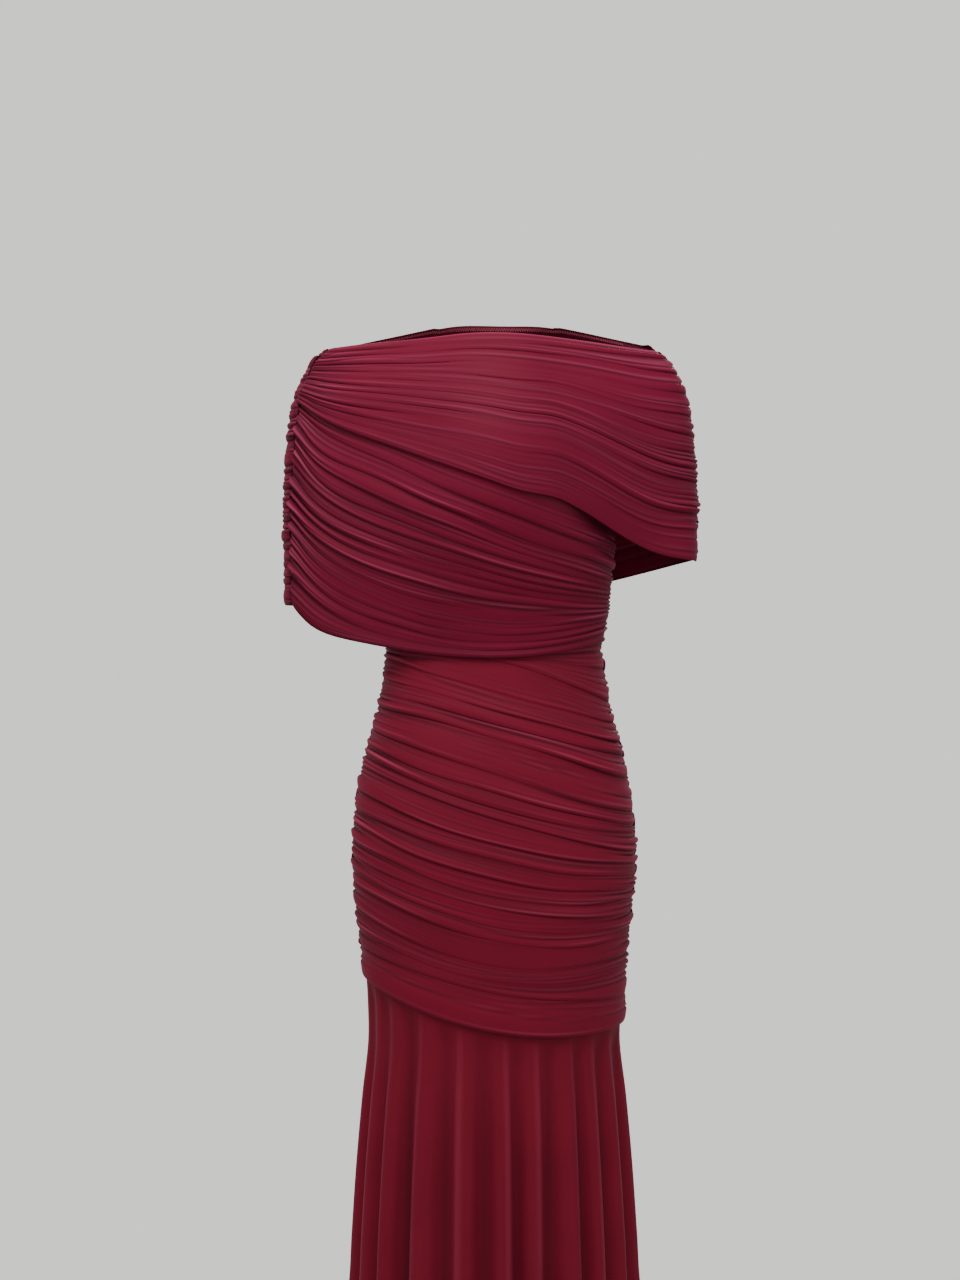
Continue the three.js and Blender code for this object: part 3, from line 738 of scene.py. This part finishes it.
def on_drape(rucks, depth_column, seam_turn, to_side_seam):
    """The drape's surface at every row and column. Place and height are found again until they agree."""
    plans = [plan_line(z, rucks.shares, depth_column, seam_turn, to_side_seam) for z in PLAN_HEIGHTS]
    plan_x = np.array([x for x, _ in plans])
    plan_ahead = np.array([ahead for _, ahead in plans])
    column = np.arange(len(rucks.shares))[None, :]
    s = (2 * rucks.shares - 1)[None, :] + 0 * rucks.part[:, None]
    for _ in range(9):
        z = rucks.height(s)
        level = np.clip((PLAN_HEIGHTS[0] - z) / PLAN_STEP, 0, len(PLAN_HEIGHTS) - 1.001)
        k = level.astype(int)
        t = level - k

        def found(plan, columns):
            return plan[k, columns] * (1 - t) + plan[k + 1, columns] * t

        x = found(plan_x, column)
        first, last = found(plan_x, 0 * column), found(plan_x, 0 * column + len(rucks.shares) - 1)
        s = np.clip(2 * (x - first) / (last - first) - 1, -1, 1)
    ahead = found(plan_ahead, column)
    shift = SHOULDER_SHIFT * ease(np.abs(x), 100, 190)
    x = x + (np.where(x > 0, 0, shift) if to_side_seam else shift)
    if to_side_seam:
        ahead = ahead + HALF_SEAM * rucks.shares[None, :]
    return np.stack([x, ahead, rucks.height(s)], axis=2), s


def way_down(rucks, rows_between=(0, 0.45, 0.84, 1)):
    """How far down the panel each row is, counted in the solid's rows."""
    steps = np.linspace(0, 1, len(rows_between))
    return ((rucks.band + np.interp(rucks.part, rows_between, steps)) / (rucks.count - 1))[:, None]


drape_finish = stretch_mesh(
    "drape_mesh",
    lit=(0.0725, 0.0021, 0.0112),
    shade=(0.045, 0.0013, 0.0068),
    crest_highlight=(0.18, 0.024, 0.056),
    sheen=0.05,
)
FRONT_GATHERS = {
    "right": 56,
    "left": 12,
    "short_right": 40,
    "short_left": 40,
    "puff_right": 1.0,
    "puff_left": 0.1,
    "dome": 0.8,
    "valley": 2.0,
    "calm": (0.45, 0.5, 0.5),
    "right_way": (-math.cos(SEAM_TURN), -math.sin(SEAM_TURN)),
    "left_way": (1, 0),
}
LOWER_GATHERS = {**FRONT_GATHERS, "puff_right": 1.15, "dome": 1.35, "valley": 1.25}
lower_rucks = Rucks(LOWER_CREASES, gathered_shares(122), seed=31, wander=2.0)
surface, s = on_drape(lower_rucks, FRONT, SEAM_TURN, True)
surface[:, :, 1] *= -1
share = lower_rucks.shares[None, :]
lift = LOWER_LIFT + 1.5 * ease(share, 0, 0.3) * (1 - ease(share, 0.92, 1)) + 0 * s
points, _, crease, crest = ruched_cloth(lower_rucks, surface, s, lift, 1, LOWER_GATHERS)
drape_lower = cloth_piece(
    "drape_lower_cloth",
    points,
    crease,
    crest,
    True,
    drape_finish,
)
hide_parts("drape_lower")


# Upper drape: the layer over it, from the neckline across the chest to the seam down the left arm, with its
# rucks drawn together in a knot of gathers at the top of the right arm. Its neck edge is turned, and a
# painted highlight shows it as a pale line.

UPPER_CREASES = [
    [-3, 3, -6, 0.6, 0.6, 0.6, 0, 0.25, 0],
    [-10, -8, -16, 1.6, 2.0, 1.8, 0, 0.25, 0],
    [-17, -17, -32, 2.4, 2.2, 2.6, 0, 0.25, 0],
    [-24, -33, -54, 3.0, 2.4, 3.4, 0, 0.25, 2],
    [-30, -49, -80, 2.8, 3.2, 3.2, 0, 0.25, 3],
    [-36, -61, -101, 2.6, 2.4, 3.6, 1, 0.25, 4],
    [-41, -73, -121, 3.0, 2.6, 3.2, 2, 0.25, 5],
    [-46, -84, -138, 2.6, 3.0, 3.6, 3, 0.25, 6],
    [-50, -95, -154, 2.4, 2.2, 3.4, 4, 0.25, 7],
    [-54, -109, -170, 2.8, 1.2, 3.6, 5, 0.25, 8],
    [-58, -126, -188, 2.4, 0.8, 3.8, 6, 0.25, 8],
    [-61, -144, -208, 2.6, 1.4, 3.6, 6.5, 0.25, 8],
    [-65, -163, -243, 2.2, 2.4, 2.2, 7, 0.25, 8],
]
UPPER_GATHERS = {
    **FRONT_GATHERS,
    "right": 20,
    "left": 22,
    "short_right": 36,
    "short_left": 62,
    "puff_right": 0.3,
    "puff_left": 0.25,
    "calm": (-0.1, 0.45, 0.45),
}
upper_rucks = Rucks(UPPER_CREASES, gathered_shares(136), seed=32, wander=2.0)
surface, s = on_drape(upper_rucks, FRONT, SEAM_TURN, False)
surface[:, :, 1] *= -1
share = upper_rucks.shares[None, :]
over = ease(way_down(upper_rucks), 0.3, 0.75) * (1 - ease(share, 0.78, 1))
lift = LOWER_LIFT + OVERLAP_LIFT * over
points, _, crease, crest = ruched_cloth(upper_rucks, surface, s, lift, 1, UPPER_GATHERS)
# Painted highlight: a pale line along the turned neck edge.
turned_edge = hump(surface[:1, :, 2] - surface[:, :, 2], 1.2)
crest = np.clip(crest + 0.9 * turned_edge, 0, 1)
drape_upper = cloth_piece(
    "drape_upper_cloth",
    points,
    crease,
    crest,
    True,
    drape_finish,
)
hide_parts("drape_upper")


# Back of the cape: hangs free from the shoulders over the back and is gathered into both arm seams. The
# inside of its neck edge shows over the front.

cape_middle = creases_between(15, (-24, 16, -14), (-268, -270, -222), (3.8, 2.8, 3.4), 0.3)
CAPE_CREASES = [
    [-3, 38, 2, 0.6, 0.6, 0.6, 0, 0.1, 0],
    *(row + [9, 0.1, 0] for row in cape_middle),
    [-293, -286, -240, 2.0, 2.2, 2.2, 0, 0.1, 0],
]
CAPE_GATHERS = {
    **FRONT_GATHERS,
    "right": 22,
    "left": 26,
    "short_right": 26,
    "short_left": 44,
    "puff_right": 0.6,
    "puff_left": 0.4,
    "calm": (0, 0.5, 0.2),
}
cape_rucks = Rucks(CAPE_CREASES, gathered_shares(118), seed=33, wander=2.0)
surface, s = on_drape(cape_rucks, CAPE, -SEAM_TURN, False)
cape_points, cape_away, crease, crest = ruched_cloth(
    cape_rucks, surface, s, LOWER_LIFT + 0 * s, -1, CAPE_GATHERS
)
# Painted shade: a darker band along the top of the back, inside and out, so that the inside of the neck edge
# reads as shaded where it shows over the front.
under_edge = surface[:1, :, 2] - surface[:, :, 2]
crease = np.clip(crease + 0.75 * hump(under_edge, 9), 0, 1)
cape_back = cloth_piece(
    "cape_back_cloth",
    cape_points,
    crease,
    crest,
    False,
    drape_finish,
)
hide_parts("cape_back")


# Stitching inside the back neck edge: a zigzag of fine thread that holds the turned edge down.

THREAD = 0.25
ZIGZAG_INSET, ZIGZAG_STEP = 12, 0.42  # in columns of the cape's grid
ZIGZAG_DROPS = (6.4, 2.6)  # how far below the edge each turn lies


def thread_finish(name, colour):
    material = bpy.data.materials.new(name)
    material.use_nodes = True
    tree = material.node_tree
    shader = tree.nodes["Principled BSDF"]
    tools = Wire(tree)
    place = tools.node("ShaderNodeTexCoord", {}, {}, gives="Object")
    strands = {"Vector": place, "Scale": 900.0, "Detail": 1.0}
    twist = tools.node("ShaderNodeTexNoise", {}, strands, gives="Fac")
    tint = twist.blended((*[0.7 * part for part in colour], 1), (*colour, 1))
    tree.links.new(tint.socket, shader.inputs["Base Color"])
    shader.inputs["Roughness"].default_value = 0.55
    return material


def stitches(name, runs, finish):
    """Stitches along each run: a thin five-sided thread between the two ends of each."""
    threads = bmesh.new()
    for run in runs:
        for start, end in run:
            start, end = Vector(start) / 1000, Vector(end) / 1000
            way = end - start
            turned = way.to_track_quat("Z", "Y").to_matrix().to_4x4()
            bmesh.ops.create_cone(
                threads,
                cap_ends=True,
                segments=5,
                radius1=THREAD / 1000,
                radius2=THREAD / 1000,
                depth=way.length,
                matrix=Matrix.Translation((start + end) / 2) @ turned,
            )
    mesh = bpy.data.meshes.new(name)
    threads.to_mesh(mesh)
    threads.free()
    mesh.materials.append(finish)
    piece = bpy.data.objects.new(name, mesh)
    bpy.context.scene.collection.objects.link(piece)
    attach(piece, "root")
    return piece


def below_edge(points, away, column, drop, inwards):
    """A point on the cloth, drop below its top edge, moved inwards through the cloth."""
    k = min(int(column), points.shape[1] - 2)
    t = column - k
    line = points[:, k] * (1 - t) + points[:, k + 1] * t
    ways = away[:, k] * (1 - t) + away[:, k + 1] * t
    fallen = np.concatenate([[0], np.cumsum(np.linalg.norm(np.diff(line, axis=0), axis=1))])
    spot = np.array([np.interp(drop, fallen, line[:, n]) for n in range(3)])
    way = np.array([np.interp(drop, fallen, ways[:, n]) for n in range(3)])
    return spot - way * inwards


neck_thread = thread_finish("neck_thread", (0.15, 0.012, 0.026))
zigzag_columns = np.arange(ZIGZAG_INSET, cape_points.shape[1] - 1 - ZIGZAG_INSET, ZIGZAG_STEP)
zigzag = [
    below_edge(cape_points, cape_away, column, ZIGZAG_DROPS[n % 2], CLOTH_THICK + 0.2)
    for n, column in enumerate(zigzag_columns)
]
neck_stitches = stitches("neck_stitches", [list(zip(zigzag[:-1], zigzag[1:]))], neck_thread)


# Hem stitching of the skirt: one line of small stitches that holds the turned hem all round.

STITCH, STITCH_GAP = 2.6, 0.9
HEM_INSET = 3


def hem_run(points):
    """Ends of the stitches along a skirt panel, just proud of the cloth."""
    line = []
    for column in range(points.shape[1]):
        z = points[:, column, 2]
        line.append([np.interp(-(FLOOR_HEIGHT + HEM_DEEP), -z, points[:, column, n]) for n in range(3)])
    line = np.array(line)
    lengths = np.concatenate([[0], np.cumsum(np.linalg.norm(np.diff(line, axis=0), axis=1))])
    starts = np.arange(HEM_INSET, lengths[-1] - 2 * HEM_INSET, STITCH + STITCH_GAP)
    both = (starts, starts + STITCH)
    ends = [np.stack([np.interp(run, lengths, line[:, n]) for n in range(3)], axis=1) for run in both]
    return list(zip(*ends))


hem_thread = thread_finish("hem_thread", (0.2, 0.022, 0.045))
hem_runs = [hem_run(front_fall), hem_run(back_fall)]
hem_stitches = stitches("hem_stitches", hem_runs, hem_thread)


# Floor, light and camera: a pale round floor under the hem, a pale room, and soft lights above, in front and
# behind.

floor_shape = bmesh.new()
bmesh.ops.create_circle(floor_shape, cap_ends=True, segments=96, radius=1.05)
bmesh.ops.translate(floor_shape, verts=floor_shape.verts, vec=(0, 0, FLOOR_HEIGHT / 1000 - 0.001))
floor_mesh = bpy.data.meshes.new("floor")
floor_shape.to_mesh(floor_mesh)
floor_shape.free()
floor = bpy.data.objects.new("floor", floor_mesh)
bpy.context.scene.collection.objects.link(floor)
floor_finish = bpy.data.materials.new("pale_floor")
floor_finish.use_nodes = True
floor_shader = floor_finish.node_tree.nodes["Principled BSDF"]
floor_shader.inputs["Base Color"].default_value = (0.62, 0.61, 0.6, 1)
floor_shader.inputs["Roughness"].default_value = 0.7
floor_mesh.materials.append(floor_finish)

room = bpy.data.worlds.new("pale_room")
room.use_nodes = True
room.node_tree.nodes["Background"].inputs["Color"].default_value = (0.6, 0.595, 0.585, 1)
room.node_tree.nodes["Background"].inputs["Strength"].default_value = 1.75
bpy.context.scene.world = room

LIGHTS = [
    # name, place, what it faces, width, power
    ("ceiling_light", (-0.2, -1.2, 1.5), (0, 0, -0.3), 1.2, 126),
    ("left_light", (-2.6, -2.0, 0.8), (0, 0, -0.4), 1.2, 40),
    ("right_light", (2.4, -2.2, 0.2), (0, 0, -0.6), 1.4, 36),
    ("back_light", (0.6, 2.6, 1.2), (0, 0, -0.4), 1.6, 60),
]
for name, place, facing, width, power in LIGHTS:
    lamp = bpy.data.lights.new(name, "AREA")
    lamp.size = width
    lamp.energy = power
    light = bpy.data.objects.new(name, lamp)
    light.location = place
    light.rotation_euler = (Vector(facing) - Vector(place)).to_track_quat("-Z", "Y").to_euler()
    bpy.context.scene.collection.objects.link(light)

lens = bpy.data.cameras.new("camera")
lens.lens = 53.8
lens.sensor_width = 36
camera = bpy.data.objects.new("camera", lens)
camera.location = (-0.016, -2.2, -0.3335)
camera.rotation_euler = (math.radians(90), 0, 0)
bpy.context.scene.collection.objects.link(camera)
bpy.context.scene.camera = camera
